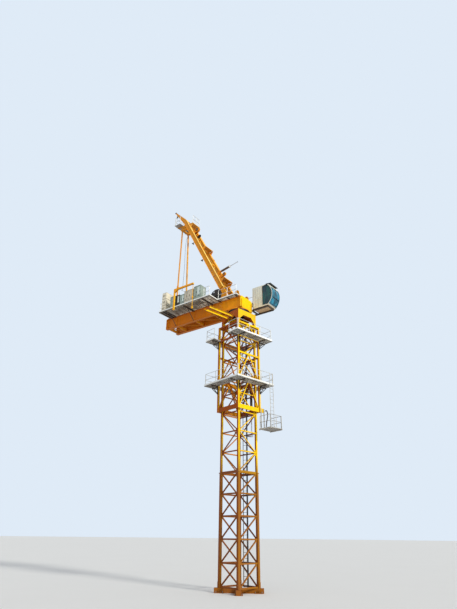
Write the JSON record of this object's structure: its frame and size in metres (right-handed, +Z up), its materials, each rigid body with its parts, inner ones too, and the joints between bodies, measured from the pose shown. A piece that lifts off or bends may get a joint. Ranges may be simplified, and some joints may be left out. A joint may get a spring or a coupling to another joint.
{
  "type": "luffing tower crane under erection",
  "caption": "Lattice-mast luffing tower crane in a climbing cage, with slewing platform, counter-jib, A-frame and cab, before its jib is fitted.",
  "frame": {"origin": "centre of the base frame's flat underside, under the mast axis", "axes": "+Z up along the mast, +X towards the jib side of the upper works, +Y to the crane's left"},
  "size_m": [12.1416, 6.5253, 38.6526],
  "materials": {
    "yellow_paint": "weathered signal-yellow paint",
    "orange_paint": "weathered orange paint",
    "dark_steel": "dark greased steel",
    "galvanised": "galvanised grating and rails",
    "concrete": "cast concrete",
    "grey_green_paint": "painted sheet steel",
    "cream_paint": "painted sheet steel",
    "black_paint": "painted sheet steel",
    "buffer_paint": "dark brown paint",
    "rod_steel": "polished rod",
    "cable_jacket": "black cable sheath",
    "cab_glazing": "tinted glass"
  },
  "bodies": {
    "mast": {"base_frame": "yellow_paint", "mast_posts": "yellow_paint", "mast_front": "yellow_paint", "mast_back": "yellow_paint", "mast_left": "yellow_paint", "mast_right": "yellow_paint", "mast_ladder": "galvanised", "cable_duct": "cable_jacket", "slewing_support": "yellow_paint", "entry_beams": "yellow_paint", "slewing_ring_lower": "dark_steel", "ram_rod": "rod_steel"},
    "cage": {"cage_posts": "yellow_paint", "cage_front": "yellow_paint", "cage_back": "yellow_paint", "cage_left": "yellow_paint", "cage_right": "yellow_paint", "cage_rollers": "dark_steel", "ram_cylinder": "dark_steel", "cage_walkways": "galvanised", "cage_rails": "galvanised", "landing_platform": "galvanised"},
    "upper_works": {"slewing_ring_upper": "dark_steel", "turntable": "orange_paint", "front_plate": "yellow_paint", "right_girder": "orange_paint", "left_girder": "orange_paint", "cross_beams": "orange_paint", "deck": "galvanised", "deck_rails": "galvanised", "counterweights": "concrete", "switch_cabinets": "grey_green_paint", "dark_cabinet": "black_paint", "cream_cabinet": "cream_paint", "hoist_davit": "orange_paint", "jib_foot_brackets": "orange_paint", "strut_feet": "orange_paint", "strut_legs": "orange_paint", "apex_head": "orange_paint", "strut_platforms": "orange_paint", "apex_sheaves": "yellow_paint", "guide_sheave": "dark_steel", "rear_ties": "orange_paint", "backstop_cylinder": "buffer_paint", "winch_frames": "dark_steel", "cab_frame": "dark_steel", "cab_shell": "cream_paint", "cab_glass": "cab_glazing"},
    "hoist_drum": {"hoist_drum": "dark_steel"},
    "luffing_drum": {"luffing_drum": "dark_steel"},
    "backstop_rod": {"backstop_rod": "rod_steel"}
  },
  "joints": [
    {"name": "slew", "type": "hinge", "parent": "mast", "child": "upper_works", "pos_m": [0, 0, 22.8], "axis": [0, 0, 1], "continuous": true},
    {"name": "cage_climb", "type": "slide", "parent": "mast", "child": "cage", "axis": [0, 0, 1], "range_m": [-1.6, 0]},
    {"name": "hoist_drum_turn", "type": "hinge", "parent": "upper_works", "child": "hoist_drum", "pos_m": [-2.45, 0, 25.335], "axis": [0, 1, 0], "continuous": true},
    {"name": "luffing_drum_turn", "type": "hinge", "parent": "upper_works", "child": "luffing_drum", "pos_m": [-4.75, 0, 25.155], "axis": [0, 1, 0], "continuous": true},
    {"name": "backstop_press", "type": "slide", "parent": "upper_works", "child": "backstop_rod", "axis": [-0.9816, 0, -0.1908], "range_m": [0, 0.55]}
  ]
}
